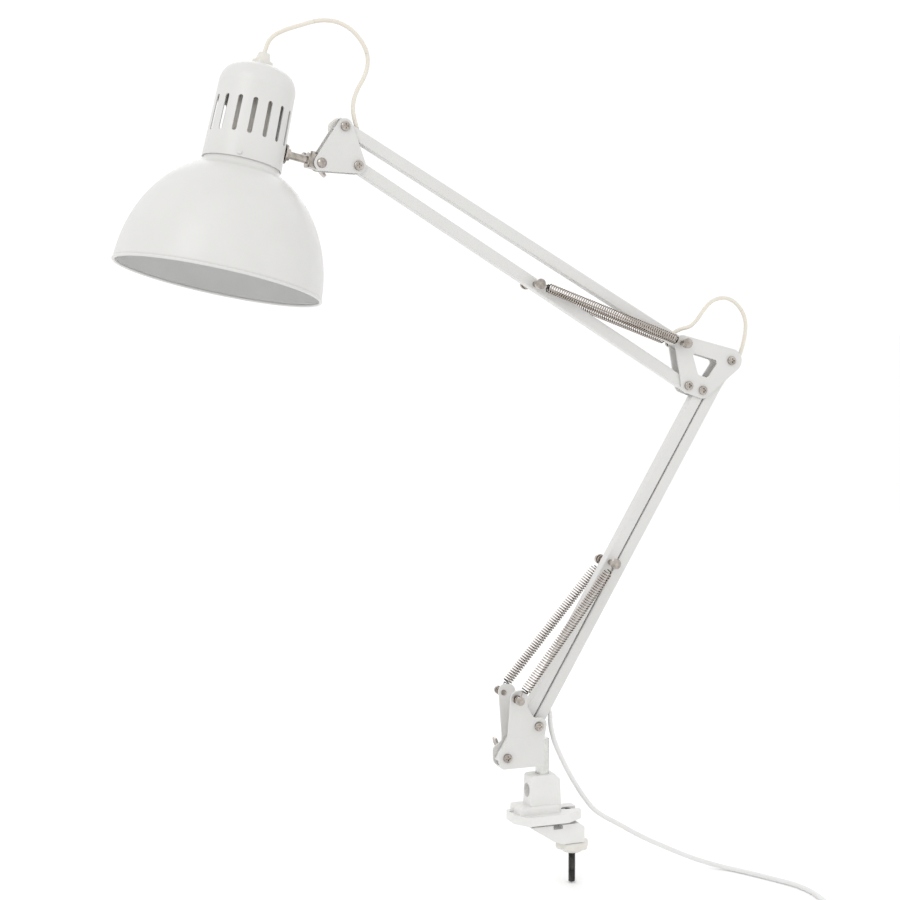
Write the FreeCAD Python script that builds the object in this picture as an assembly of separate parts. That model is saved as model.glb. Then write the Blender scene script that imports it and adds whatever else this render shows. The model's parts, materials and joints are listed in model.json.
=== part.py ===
import FreeCAD, Part
import math
import os

# Swing arm desk lamp on a table clamp.  Millimetres, +Z up.
# Origin: swivel axis, on the face of the clamp that lies on the table top.
# The arms move in the XZ plane; -Y is the near side of every plate and pin.

Vector = FreeCAD.Vector
AXIS_X = Vector(1, 0, 0)
AXIS_Y = Vector(0, 1, 0)
AXIS_Z = Vector(0, 0, 1)

# ---- Driving dimensions -------------------------------------------------------------------
TUBE_SIZE = 10.0
TUBE_WALL = 1.0
TUBE_CORNER = 1.2
TUBE_END = 6.0                 # tube past its pivot
SCREW_RADIUS = 2.0
HEAD_RADIUS = 4.0
HEAD_HEIGHT = 2.4
RECESS_SPAN = 4.4              # cross recess in the screw heads
RECESS_WIDTH = 1.2
RECESS_FLOOR = 0.9
HEAD_ROUND = 1.2
NUT_FLATS = 7.0
NUT_HEIGHT = 3.2
NUT_COLLAR_RADIUS = 3.0
NUT_COLLAR_TOP = 4.6
WING_HUB_HEIGHT = 6.5
WING_HUB_RADII = (4.6, 3.6)
WING_SHEET = 1.8
WING_OUTLINE = [               # out from the axis, along the axis, corner radius
    (2.0, 1.0, 0), (2.0, 5.0, 0), (8.5, 12.5, 1.6), (14.0, 12.5, 2.4), (13.0, 5.5, 2.6),
    (6.0, 1.0, 1.0),
]
WASHER_RADIUS = 4.5
WASHER_FACES = (-5.5, -5.3)
RUNNING = 0.06                 # radial clearance of a turning fit
PIN_RADIUS = 2.5
CAP_RADIUS = 4.5
CAP_HEIGHT = 3.0
PLATE_INSIDE = 5.5
PLATE_THICKNESS = 1.5
PLATE_OUTSIDE = PLATE_INSIDE + PLATE_THICKNESS
SPRING_RADIUS = 4.5
SPRING_WIRE = 1.3
HOOK_RADIUS = 3.4
HOOK_LENGTH = 8.0
LOOP_CORD_RADIUS = 1.75
MAINS_CORD_RADIUS = 2.1

ARM_LENGTH = 369.3             # between pivots, both lower tubes
ARM_ANGLE = 59.4
UPPER_ANGLE = 150.07           # top tube, from D towards H1


def arm_point(x, z, y=0.0):
    return Vector(x, y, z)


def heading(angle):
    """Unit vector in the arm plane."""
    return Vector(math.cos(math.radians(angle)), 0, math.sin(math.radians(angle)))


ALONG = heading(ARM_ANGLE)
ACROSS = heading(ARM_ANGLE + 90)

P1 = arm_point(-7.5, 86.1)                     # rear tube on the yoke
P2 = arm_point(-31.5, 113.4)                   # lower springs on the yoke
P3 = P1 - ALONG * 37.2 + ACROSS * 11.4         # front tube on the yoke
A = P1 + ALONG * ARM_LENGTH                    # rear tube on the elbow
C = P3 + ALONG * ARM_LENGTH                    # front tube on the elbow
B = arm_point(137.4, 382.1)                    # bottom tube on the elbow
D = arm_point(130.9, 420.0)                    # top tube and upper springs on the elbow
H1 = arm_point(-181.2, 599.7)                  # top tube on the head
H2 = arm_point(-169.9, 568.0)                  # bottom tube on the head
K = arm_point(-201.3, 569.4)                   # knuckle on the head
LOWER_PIN = P3 + (C - P3).normalize() * 194.0  # lower springs on the front tube
UPPER_PIN = B + (H2 - B).normalize() * 173.0   # upper springs on the bottom tube

LOWER_SPRING_Y = (21.4, 13.0)                  # at P2 and at the front tube
UPPER_SPRING_Y = (12.5, 12.5)
STUD_START = 12.4              # inside the ear
STUD_END = 26.5
STUD_HEAD_RADIUS = 3.7
STUD_COLLAR = (-18.6, -16.6)
PIN_END = 18.0

# ---- Yoke ---------------------------------------------------------------------------------
YOKE_SHEET = 1.5
YOKE_INSIDE = 6.0
YOKE_BEND_Z = 77.0
YOKE_SPLAY = 11.0
YOKE_BOTTOM = 50.0
SWIVEL_RADIUS = 6.0
SWIVEL_CLEARANCE = 0.05
SWIVEL_BOTTOM = 6.5
SWIVEL_TOP = 73.5

# ---- Head ---------------------------------------------------------------------------------
HEAD_KNOB_RADIUS = 8.5
HEAD_KNOB_FACES = (7.3, 16.0)
HEAD_KNOB_ROUND = 1.8
HEAD_KNOB_BORE_END = 13.5
BOLT_TIP = 16.5
DOME_RADIUS = 5.6
DOME_DEPTH = 3.6               # dome centre inside the plate's outer face
KNUCKLE_EYE_RADIUS = 6.2
KNUCKLE_REACH = 9.5
KNUCKLE_HALF_HEIGHT = 5.8
KNUCKLE_ROD_END = -3.8
CLAMP_SCREW_X = -6.4
CLAMP_SCREW_RADIUS = 1.5
CLAMP_SCREW_LENGTH = 4.0

# ---- Clamp --------------------------------------------------------------------------------
TOWER_TOP = 42.0
SIDE_SOCKET_Z = 27.9
ROD_RADIUS = 3.2
ROD_X = 29.2
ROD_TIP = -59.2
ROD_BEND = 6.2
ROD_LEG_Z = 5.2
JAW_BOTTOM = -21.0
JAW_TOP = -3.4
KNOB_TOP = -21.5
KNOB_BOTTOM = -28.5
KNOB_HUB_BOTTOM = -31.5
KNOB_LOBES = 6
KNOB_RADIUS = 15.5

# ---- Shade, in its own frame: origin K, +X along the knuckle rod, +Z up the shade axis -------
SHADE_AXIS_X = -63.5
RIM_Z = -115.0
SHADE_TILT = 13.25
SHADE_LEAN = -3.56
RIM_RADIUS = 85.0
RIM_BEAD = 1.2
BOWL_HEIGHT = 103.0
SHEET = 1.0
CAP_BOTTOM = 97.0              # heights above the rim plane from here on
COLLAR_RADIUS = 31.4           # bowl collar that the cap slips over
COLLAR_HEIGHT = 7.0
CAP_SHOULDER = 158.0
CAP_TOP = 180.0
CAP_RADIUS_LOW = 32.7
CAP_RADIUS_HIGH = 31.3
VENTS = 16
VENT_LOW = 117.0
VENT_HIGH = 146.5
VENT_WIDTH = 3.8
HOLDER_TOP = 158.0
HOLDER_BOTTOM = 108.0
HOLDER_RADIUS = 19.5
THREAD_RADIUS = 13.3
THREAD_LENGTH = 24.0
GLAND_RADIUS = 8.5
GLAND_NECK_RADIUS = 4.9
GLAND_TOP = 190.0
GLAND_BORE_DEPTH = 4.0
KNUCKLE_ROD_RADIUS = 3.25
RIVET_RADIUS = 2.0
RIVET_HEIGHT = 100.6
RIVET_ANGLES = (-109, 11, 131)

# ---- Cord routes: the cord's centre line, point by point ------------------------------------
HEAD_LOOP = [
    (-244.1, 5.2, 664.6), (-238.4, 4.7, 671.6), (-229.4, 4.0, 676.4), (-217.1, 3.2, 680.5),
    (-204.9, 2.4, 684.6), (-194.3, 1.6, 686.1), (-183.2, 1.0, 684.7), (-172.4, 0.4, 679.0),
    (-164.3, 0.0, 670.0), (-159.6, 0.0, 660.6), (-159.2, 0.0, 650.5), (-162.7, 0.0, 640.3),
    (-168.7, 0.0, 630.8), (-172.3, 0.0, 620.3), (-172.4, 0.0, 609.3), (-168.6, 0.0, 598.0),
]
ELBOW_LOOP = [
    (124.5, 428.5), (131.1, 432.4), (142.1, 434.2), (149.0, 440.3), (156.0, 450.1),
    (163.0, 457.3), (174.1, 460.9), (185.3, 458.2), (194.7, 449.2), (198.9, 438.4),
    (198.1, 426.7), (195.2, 415.0), (191.0, 404.0), (184.2, 395.2), (176.4, 385.6),
    (170.4, 377.6),
]
MAINS_LEAD = [
    (2.5, 0.0, 104.5), (7.6, 0.0, 96.6), (7.3, 0.0, 86.8), (10.3, 0.0, 72.1),
    (17.1, 0.0, 56.2), (26.9, 0.0, 37.3), (37.8, 0.0, 20.0), (48.7, 0.0, 5.3),
    (59.6, 0.0, -3.1), (73.5, 0.0, -10.9), (96.7, 0.0, -25.3), (122.1, -0.5, -38.1),
    (147.8, -3.0, -50.2), (170.8, -12.0, -57.6), (187.5, -38.0, -57.9),
    (199.0, -62.0, -57.9), (209.5, -83.0, -57.9), (212.5, -108.0, -57.9),
    (207.5, -136.0, -57.9), (198.0, -163.0, -57.9), (193.0, -187.0, -57.9), (192.6, -207.0, -57.9),
]
HEAD_SPLIT = (5, 10)           # route points where one piece of the head loop meets the next
ELBOW_SPLIT = 8
CORD_GAP = 0.6                 # each piece of a loop stops this far short of the next
COIL_CENTRE = Vector(165.0, -219.0, -55.8)
COIL_RADIUS = 23.0
COIL_WIDTH = 12.6
COIL_HEIGHT = 8.4
PLUG_LEAD = [
    (148.0, -246.6, -55.6), (134.0, -246.2, -57.3), (120.0, -243.0, -57.9),
    (105.0, -239.0, -56.5), (91.0, -236.0, -53.8), (77.0, -235.0, -53.2),
]
PLUG_BODY = (42.0, 26.0, 13.7)


# ---- Helpers --------------------------------------------------------------------------------
def cylinder_y(radius, y_low, y_high, at):
    return Part.makeCylinder(radius, y_high - y_low, Vector(at.x, y_low, at.z), AXIS_Y)


def ring_y(outer, inner, y_low, y_high, at):
    return cylinder_y(outer, y_low, y_high, at).cut(cylinder_y(inner, y_low, y_high, at))


def fused(shapes):
    whole = shapes[0]
    if len(shapes) > 1:
        whole = whole.fuse(shapes[1:])
    return whole.removeSplitter()


def mirrored(shape):
    return shape.mirror(Vector(0, 0, 0), AXIS_Y)


def turned(shape, origin, angle):
    """Put a shape built along +X at origin, its +X turned to angle in the arm plane."""
    copy = shape.copy()
    place = FreeCAD.Placement(origin, FreeCAD.Rotation(AXIS_Y, -angle))
    copy.Placement = place.multiply(copy.Placement)
    return copy


def rounded_outline(corners, y):
    """Closed face in the plane at y from (x, z, radius) corners."""
    count = len(corners)
    starts, middles, ends = [], [], []
    for index, (x, z, radius) in enumerate(corners):
        here = Vector(x, y, z)
        last = corners[index - 1]
        following = corners[(index + 1) % count]
        back = (Vector(last[0], y, last[1]) - here).normalize()
        ahead = (Vector(following[0], y, following[1]) - here).normalize()
        half = back.getAngle(ahead) / 2
        setback = radius / math.tan(half)
        bisector = (back + ahead).normalize()
        starts.append(here + back * setback)
        middles.append(here + bisector * (radius / math.sin(half) - radius))
        ends.append(here + ahead * setback)
    edges = []
    for index in range(count):
        if corners[index][2] > 0:
            edges.append(Part.Arc(starts[index], middles[index], ends[index]).toShape())
        edges.append(Part.makeLine(ends[index], starts[(index + 1) % count]))
    return Part.Face(Part.Wire(edges))


def slab(corners, y_low, y_high):
    return rounded_outline(corners, y_low).extrude(Vector(0, y_high - y_low, 0))


def link_prism(centre_a, radius_a, centre_b, radius_b, y_low, y_high):
    """Prism between the two outer tangents of a pair of circles."""
    gap = centre_b - centre_a
    direction = gap.getAngle(AXIS_X) * (1 if gap.z >= 0 else -1)
    spread = math.acos((radius_a - radius_b) / gap.Length)
    corners = []
    for centre, radius, side in ((centre_a, radius_a, 1), (centre_b, radius_b, 1),
                                 (centre_b, radius_b, -1), (centre_a, radius_a, -1)):
        turn = direction + side * spread
        corners.append(Vector(centre.x + radius * math.cos(turn), y_low,
                              centre.z + radius * math.sin(turn)))
    return Part.Face(Part.makePolygon(corners + corners[:1])).extrude(Vector(0, y_high - y_low, 0))


def hull_plate(circles, y_low, y_high):
    """Plate round a ring of (centre, radius) circles listed in order round its edge."""
    shapes = [cylinder_y(radius, y_low, y_high, centre) for centre, radius in circles]
    for index, (centre, radius) in enumerate(circles):
        other, other_radius = circles[(index + 1) % len(circles)]
        shapes.append(link_prism(centre, radius, other, other_radius, y_low, y_high))
    corners = [Vector(centre.x, y_low, centre.z) for centre, _ in circles]
    inner = Part.Face(Part.makePolygon(corners + corners[:1]))
    shapes.append(inner.extrude(Vector(0, y_high - y_low, 0)))
    return fused(shapes)


def square_tube(start, length, angle, end_before, end_after):
    """Square tube along +X of the given angle; the pivots are at start and start + length."""
    half = TUBE_SIZE / 2
    total = length + end_before + end_after
    outer = Part.makeBox(total, TUBE_SIZE, TUBE_SIZE, Vector(-end_before, -half, -half))
    long_edges = [edge for edge in outer.Edges if abs(edge.Length - total) < RUNNING]
    outer = outer.makeFillet(TUBE_CORNER, long_edges)
    hollow = TUBE_SIZE - 2 * TUBE_WALL
    inner = Part.makeBox(total, hollow, hollow, Vector(-end_before, -hollow / 2, -hollow / 2))
    return turned(outer.cut(inner), start, angle)


def cord_slot(start, angle, distance, length, width=6.0):
    """Cutter for a cord slot through the local -Z wall, centred at a distance from start."""
    run = length - width
    box = Part.makeBox(run, width, TUBE_SIZE, Vector(distance - run / 2, -width / 2, -TUBE_SIZE))
    ends = [
        Part.makeCylinder(width / 2, TUBE_SIZE, Vector(distance + side * run / 2, 0, -TUBE_SIZE))
        for side in (-1, 1)
    ]
    return turned(fused([box] + ends), start, angle)


def hex_prism(across_flats, y_low, y_high, at, turn=0.0):
    radius = across_flats / math.sqrt(3)
    corners = []
    for step in range(7):
        angle = math.radians(60 * step + turn)
        corners.append(Vector(at.x + radius * math.cos(angle), y_low,
                              at.z + radius * math.sin(angle)))
    return Part.Face(Part.makePolygon(corners)).extrude(Vector(0, y_high - y_low, 0))


def pan_screw(at, head_y, tip_y, radius=SCREW_RADIUS):
    """Pan-head screw whose head sits outside head_y on the near side."""
    head = cylinder_y(HEAD_RADIUS, head_y - HEAD_HEIGHT, head_y, at)
    rim = [edge for edge in head.Edges if abs(edge.BoundBox.YMax - (head_y - HEAD_HEIGHT)) < RUNNING]
    head = head.makeFillet(HEAD_ROUND, rim)
    bottom = head_y - RECESS_FLOOR
    recess = []
    for wide, high in ((RECESS_SPAN, RECESS_WIDTH), (RECESS_WIDTH, RECESS_SPAN)):
        corner = Vector(at.x - wide / 2, bottom - HEAD_HEIGHT, at.z - high / 2)
        recess.append(Part.makeBox(wide, HEAD_HEIGHT, high, corner))
    return fused([head.cut(recess), cylinder_y(radius, head_y, tip_y, at)])


def lock_nut(at, y_low):
    """Hexagon nut with a round nylon collar, on the far side of a plate."""
    top = y_low + NUT_COLLAR_TOP
    body = hex_prism(NUT_FLATS, y_low, y_low + NUT_HEIGHT, at, 12)
    collar = cylinder_y(NUT_COLLAR_RADIUS, y_low + NUT_HEIGHT, top, at)
    return fused([body, collar]).cut(cylinder_y(SCREW_RADIUS, y_low, top, at))


def wing_nut(at, y_low, turn):
    """Wing nut on the far side of a plate; turn is the angle of its wings."""
    hub = Part.makeCone(*WING_HUB_RADII, WING_HUB_HEIGHT, Vector(0, y_low, 0), AXIS_Y)
    wing = rounded_outline(WING_OUTLINE, 0).extrude(Vector(0, WING_SHEET, 0))
    wing.rotate(Vector(0, 0, 0), AXIS_X, -90)
    wing.translate(Vector(0, y_low, -wing.BoundBox.Center.z))
    other = wing.copy()
    other.rotate(Vector(0, 0, 0), AXIS_Y, 180)
    bore = cylinder_y(SCREW_RADIUS + RUNNING, y_low, y_low + 2 * WING_HUB_HEIGHT, Vector(0, 0, 0))
    return turned(fused([hub, wing, other]).cut(bore), arm_point(at.x, at.z), turn)


def washers(centres):
    """Pairs of thin nylon washers, one each side of the tube."""
    rings = []
    for centre, bore in centres:
        near = ring_y(WASHER_RADIUS, bore + RUNNING, *WASHER_FACES, centre)
        rings += [near, mirrored(near)]
    return Part.makeCompound(rings)


def spring_pin(at, end):
    """Straight pin with a flat cap on each end."""
    shank = cylinder_y(PIN_RADIUS, -end + CAP_HEIGHT, end - CAP_HEIGHT, at)
    near = cylinder_y(CAP_RADIUS, -end, -end + CAP_HEIGHT, at)
    return fused([shank, near, mirrored(near)])


def spring_line(root, tip, y_pair, side):
    """Start and direction of one spring of a pair."""
    start = Vector(root.x, side * y_pair[0], root.z)
    finish = Vector(tip.x, side * y_pair[1], tip.z)
    return start, finish


def hook(at, towards):
    """Wire ring round a pin, with a straight tail towards the coil."""
    direction = (towards - at).normalize()
    ring = Part.makeTorus(HOOK_RADIUS, SPRING_WIRE / 2, at, AXIS_Y)
    tail_start = at + direction * HOOK_RADIUS
    tail = Part.makeCylinder(SPRING_WIRE / 2, HOOK_LENGTH - HOOK_RADIUS, tail_start, direction)
    return fused([ring, tail])


def spring_pair(root, tip, y_pair):
    """Two extension springs as plain coils, with the hook at their root."""
    springs = []
    for side in (-1, 1):
        start, finish = spring_line(root, tip, y_pair, side)
        direction = (finish - start).normalize()
        length = (finish - start).Length - 2 * HOOK_LENGTH
        base = start + direction * HOOK_LENGTH
        coil = Part.makeCylinder(SPRING_RADIUS, length, base, direction)
        coil = coil.cut(Part.makeCylinder(SPRING_RADIUS - SPRING_WIRE, length - 2 * SPRING_WIRE,
                                          base + direction * SPRING_WIRE, direction))
        springs.append(fused([coil, hook(start, finish)]))
    return Part.makeCompound(springs)


def spring_end_hooks(root, tip, y_pair, gap=0.3):
    hooks = []
    for side in (-1, 1):
        start, finish = spring_line(root, tip, y_pair, side)
        direction = (start - finish).normalize()
        ring = hook(finish, start)
        clear = Part.makeCylinder(SPRING_RADIUS, gap, finish + direction * (HOOK_LENGTH - gap),
                                  direction)
        hooks.append(ring.cut(clear))
    return Part.makeCompound(hooks)


def cord_tube(points, radius):
    """Round cord: straight runs joined by tangent arcs as large as the runs allow."""
    route = [Vector(*point) for point in points]
    edges = []
    reached = route[0]
    for index in range(1, len(route) - 1):
        here = route[index]
        back = (route[index - 1] - here).normalize()
        ahead = (route[index + 1] - here).normalize()
        turn = math.pi - back.getAngle(ahead)
        shorter = min((route[index - 1] - here).Length, (route[index + 1] - here).Length)
        setback = 0.45 * shorter
        bend = setback / math.tan(turn / 2)
        start = here + back * setback
        end = here + ahead * setback
        bisector = (back + ahead).normalize()
        middle = here + bisector * (bend / math.cos(turn / 2) - bend)
        edges.append(Part.makeLine(reached, start))
        edges.append(Part.Arc(start, middle, end).toShape())
        reached = end
        if bend < 10 * radius:
            print("bend radius at point", index, round(bend, 1))
    edges.append(Part.makeLine(reached, route[-1]))
    path = Part.Wire(edges)
    profile = Part.Wire(Part.Circle(route[0], (route[1] - route[0]).normalize(), radius).toShape())
    tube = path.makePipeShell([profile], True, False)
    expected = math.pi * radius ** 2 * path.Length
    print("cord length", round(path.Length, 1), "volume ratio", round(tube.Volume / expected, 4))
    return tube


def flat_route(points):
    return [(x, 0.0, z) for x, z in points]


def shortened(points, at_start, at_end):
    """Route with its first and last runs shortened."""
    route = [Vector(*point) for point in points]
    route[0] += (route[1] - route[0]).normalize() * at_start
    route[-1] += (route[-2] - route[-1]).normalize() * at_end
    return route


def on_shade(shape):
    """Move a shape from the shade's own frame to its place on the lamp."""
    copy = shape.copy()
    lean = FreeCAD.Rotation(AXIS_X, SHADE_LEAN)
    tilt = FreeCAD.Rotation(AXIS_Y, SHADE_TILT)
    copy.Placement = FreeCAD.Placement(K, tilt.multiply(lean)).multiply(copy.Placement)
    return copy


def on_knuckle(shape):
    """Move a shape from a frame at K, +X along the knuckle rod, to its place on the lamp."""
    copy = shape.copy()
    copy.Placement = FreeCAD.Placement(K, FreeCAD.Rotation(AXIS_Y, SHADE_TILT))
    return copy


def shade_point(x, y, height):
    lean = FreeCAD.Rotation(AXIS_X, SHADE_LEAN)
    tilt = FreeCAD.Rotation(AXIS_Y, SHADE_TILT)
    return K + tilt.multiply(lean).multVec(Vector(SHADE_AXIS_X + x, y, RIM_Z + height))


def shade_cylinder(radius, low, high):
    return Part.makeCylinder(radius, high - low, Vector(SHADE_AXIS_X, 0, RIM_Z + low))


def revolved(edges):
    face = Part.Face(Part.Wire(Part.__sortEdges__(edges)))
    return face.revolve(Vector(SHADE_AXIS_X, 0, 0), AXIS_Z, 360)


def profile_point(radius, height):
    return Vector(SHADE_AXIS_X + radius, 0, RIM_Z + height)


# ---- Clamp ----------------------------------------------------------------------------------
def clamp_block():
    tower = slab([(-15.5, 6, 0), (-14, TOWER_TOP, 3), (9, TOWER_TOP, 0.5), (14, TOWER_TOP - 5, 1),
                  (15.5, 6, 0)], -8.5, 8.5)
    tower = tower.makeFillet(1.5, [edge for edge in tower.Edges
                                   if edge.Length > 25 and abs(edge.CenterOfMass.y) > 8
                                   and abs(edge.CenterOfMass.x) > 13])
    base = Part.makePolygon([Vector(-29, 14, 0), Vector(-29, -5, 0), Vector(-20, -19, 0),
                             Vector(18, -19, 0), Vector(34, -9, 0), Vector(34, 14, 0),
                             Vector(-29, 14, 0)])
    flange = Part.Face(base).extrude(Vector(0, 0, 8))
    flange = flange.makeFillet(2.0, [edge for edge in flange.Edges
                                     if abs(edge.Length - 8) < RUNNING])
    pad = Part.makeBox(37, 24, 14, Vector(-25, -11, 1))
    pad = pad.makeFillet(2.5, [edge for edge in pad.Edges if edge.BoundBox.ZMin > 2])
    block = fused([tower, flange, pad])
    socket = Part.makeCylinder(SWIVEL_RADIUS + SWIVEL_CLEARANCE, TOWER_TOP, Vector(0, 0, 6))
    side_socket = Part.makeCylinder(SWIVEL_RADIUS + SWIVEL_CLEARANCE, 9.0,
                                    Vector(-16.4, 0, SIDE_SOCKET_Z), AXIS_X)
    screw_hole = Part.makeCylinder(2.1, 12, Vector(-26.5, 6, -1))
    rod_leg = Part.makeCylinder(ROD_RADIUS + 0.1, 30, Vector(12, 0, ROD_LEG_Z), AXIS_X)
    rod_slot = Part.makeBox(14, 7.4, 20, Vector(21, -3.7, -1))
    return block.cut([socket, side_socket, screw_hole, rod_leg, rod_slot])


def clamp_hook_rod():
    bend_centre = Vector(ROD_X - ROD_BEND, 0, ROD_LEG_Z - ROD_BEND)
    corner = bend_centre + Vector(ROD_BEND, 0, ROD_BEND) * math.sin(math.radians(45))
    bend_start = Vector(bend_centre.x, 0, ROD_LEG_Z)
    bend_end = Vector(ROD_X, 0, bend_centre.z)
    path = Part.Wire([
        Part.makeLine(Vector(12.5, 0, ROD_LEG_Z), bend_start),
        Part.Arc(bend_start, corner, bend_end).toShape(),
        Part.makeLine(bend_end, Vector(ROD_X, 0, ROD_TIP)),
    ])
    profile = Part.Wire(Part.Circle(Vector(12.5, 0, ROD_LEG_Z), AXIS_X, ROD_RADIUS).toShape())
    return path.makePipeShell([profile], True, False)


def clamp_jaw():
    body = slab([(-15.8, JAW_TOP, 0.4), (6, JAW_TOP, 0), (6, -7.0, 0.5), (15, -7.0, 0.5),
                 (15, JAW_TOP, 0), (31, JAW_TOP, 1), (36, -7, 2), (36, JAW_BOTTOM, 1.5),
                 (15.5, JAW_BOTTOM, 1.5), (6.5, -17.8, 3)], -12, 12)
    return body.cut(Part.makeCylinder(ROD_RADIUS + 0.3, 40, Vector(ROD_X, 0, -30)))


def clamp_knob():
    height = KNOB_TOP - KNOB_BOTTOM
    body = Part.makeCylinder(KNOB_RADIUS - 2.5, height, Vector(ROD_X, 0, KNOB_BOTTOM))
    lobes = []
    for index in range(KNOB_LOBES):
        angle = math.radians(360 * index / KNOB_LOBES)
        centre = Vector(ROD_X + 11 * math.cos(angle), 11 * math.sin(angle), KNOB_BOTTOM)
        lobes.append(Part.makeCylinder(KNOB_RADIUS - 11, height, centre))
    hub = Part.makeCone(8.5, 10.5, 4, Vector(ROD_X, 0, KNOB_HUB_BOTTOM))
    knob = fused([body, hub] + lobes)
    nut_pocket = hex_column(10.0, KNOB_HUB_BOTTOM - 1, KNOB_HUB_BOTTOM + 5)
    bore = Part.makeCylinder(ROD_RADIUS + 0.3, 20, Vector(ROD_X, 0, KNOB_HUB_BOTTOM - 1))
    return knob.cut([nut_pocket, bore])


def hex_column(across_flats, low, high):
    radius = across_flats / math.sqrt(3)
    corners = [
        Vector(ROD_X + radius * math.cos(math.radians(60 * step)),
               radius * math.sin(math.radians(60 * step)), low)
        for step in range(7)
    ]
    return Part.Face(Part.makePolygon(corners)).extrude(Vector(0, 0, high - low))


def clamp_knob_nut():
    nut = hex_column(10.0, KNOB_HUB_BOTTOM, KNOB_HUB_BOTTOM + 5)
    return nut.cut(Part.makeCylinder(ROD_RADIUS + 0.1, 10, Vector(ROD_X, 0, KNOB_HUB_BOTTOM - 1)))


# ---- Yoke -----------------------------------------------------------------------------------
def yoke_bracket():
    """Folded sheet: a floor, two upright sides, and ears splayed outward above the bend."""
    stretch = 1 / math.cos(math.radians(YOKE_SPLAY))

    def up(z):
        return YOKE_BEND_Z + (z - YOKE_BEND_Z) * stretch

    outline = [(-36, up(120.5), 6), (-20.3, up(120.5), 6.5), (-20.3, up(105.8), 4),
               (-12.5, up(94.3), 5), (0.6, up(94.3), 7.4), (-1.3, 72, 8),
               (-1.8, YOKE_BOTTOM, 0.5), (-44.2, YOKE_BOTTOM, 7.5), (-44.2, 66.5, 4), (-36, 72.5, 3)]
    outside = YOKE_INSIDE + YOKE_SHEET
    flat = slab(outline, -outside, -YOKE_INSIDE)
    above = Part.makeBox(80, 10, 80, Vector(-60, -12, YOKE_BEND_Z))
    middle = -(YOKE_INSIDE + YOKE_SHEET / 2)
    ear = flat.common(above)
    ear.rotate(Vector(0, middle, YOKE_BEND_Z), AXIS_X, YOKE_SPLAY)
    side = flat.cut(above)
    fold = Part.makeCylinder(YOKE_SHEET / 2, 34.4, Vector(-36, middle, YOKE_BEND_Z), AXIS_X)
    near = fused([side, ear, fold])
    floor = Part.makeBox(34, 2 * outside, YOKE_SHEET, Vector(-40, -outside, YOKE_BOTTOM))
    yoke = fused([near, mirrored(near), floor])
    reach = 40
    holes = [
        cylinder_y(SCREW_RADIUS, -reach, reach, P1),
        cylinder_y(SCREW_RADIUS, -reach, reach, P3),
        cylinder_y(PIN_RADIUS, -reach, reach, P2),
        Part.makeCylinder(SWIVEL_RADIUS, SWIVEL_TOP, Vector(0, 0, 0)),
        cylinder_y(HEAD_RADIUS + 0.6, -reach, -9.4, P1),
        cylinder_y(HEAD_RADIUS + 0.6, 9.4, reach, P1),
    ]
    return yoke.cut(holes)


def swivel_pin():
    length = SWIVEL_TOP - SWIVEL_BOTTOM
    pin = Part.makeCylinder(SWIVEL_RADIUS, length, Vector(0, 0, SWIVEL_BOTTOM))
    ends = [edge for edge in pin.Edges if edge.BoundBox.ZLength < RUNNING]
    return pin.makeChamfer(0.8, ends)


def yoke_pivot_screws():
    outside = YOKE_INSIDE + YOKE_SHEET
    rear = pan_screw(P1, -9.4, 14.4)
    front = pan_screw(P3, -outside, 17.0)
    return Part.makeCompound([rear, front])


def yoke_spacers():
    near = ring_y(4.0, SCREW_RADIUS + RUNNING, -6.9, -5.3, P1)
    front = ring_y(4.5, SCREW_RADIUS + RUNNING, -5.85, -5.3, P3)
    return Part.makeCompound([near, mirrored(near), front, mirrored(front)])


def yoke_spring_studs():
    """A headed stud on each ear; the arms swing through the gap between them."""
    shank = cylinder_y(PIN_RADIUS, -STUD_END, -STUD_START, P2)
    collar = cylinder_y(STUD_HEAD_RADIUS, *STUD_COLLAR, P2)
    head = cylinder_y(STUD_HEAD_RADIUS, -STUD_END, -STUD_END + CAP_HEIGHT, P2)
    near = fused([shank, collar, head])
    return Part.makeCompound([near, mirrored(near)])


# ---- Arms -----------------------------------------------------------------------------------
def lower_rear_tube():
    tube = square_tube(P1, ARM_LENGTH, ARM_ANGLE, TUBE_END, TUBE_END)
    bore = SCREW_RADIUS + RUNNING
    return tube.cut([
        cylinder_y(bore, -TUBE_SIZE, TUBE_SIZE, P1),
        cylinder_y(bore, -TUBE_SIZE, TUBE_SIZE, A),
        cord_slot(P1, ARM_ANGLE, 20.0, 14.0),
        cord_slot(P1, ARM_ANGLE, ARM_LENGTH - 22.0, 25.0),
    ])


def lower_front_tube():
    tube = square_tube(P3, ARM_LENGTH, ARM_ANGLE, TUBE_END, TUBE_END)
    bore = SCREW_RADIUS + RUNNING
    return tube.cut([
        cylinder_y(bore, -TUBE_SIZE, TUBE_SIZE, P3),
        cylinder_y(bore, -TUBE_SIZE, TUBE_SIZE, C),
        cylinder_y(PIN_RADIUS, -TUBE_SIZE, TUBE_SIZE, LOWER_PIN),
    ])


UPPER_LENGTH = (H1 - D).Length


def upper_top_tube():
    tube = square_tube(D, UPPER_LENGTH, UPPER_ANGLE, TUBE_END, TUBE_END)
    return tube.cut([
        cylinder_y(PIN_RADIUS + RUNNING, -TUBE_SIZE, TUBE_SIZE, D),
        cylinder_y(SCREW_RADIUS + RUNNING, -TUBE_SIZE, TUBE_SIZE, H1),
        cord_slot(D, UPPER_ANGLE, 12.0, 12.0),
        cord_slot(D, UPPER_ANGLE, UPPER_LENGTH - 13.0, 12.0),
    ])


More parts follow.
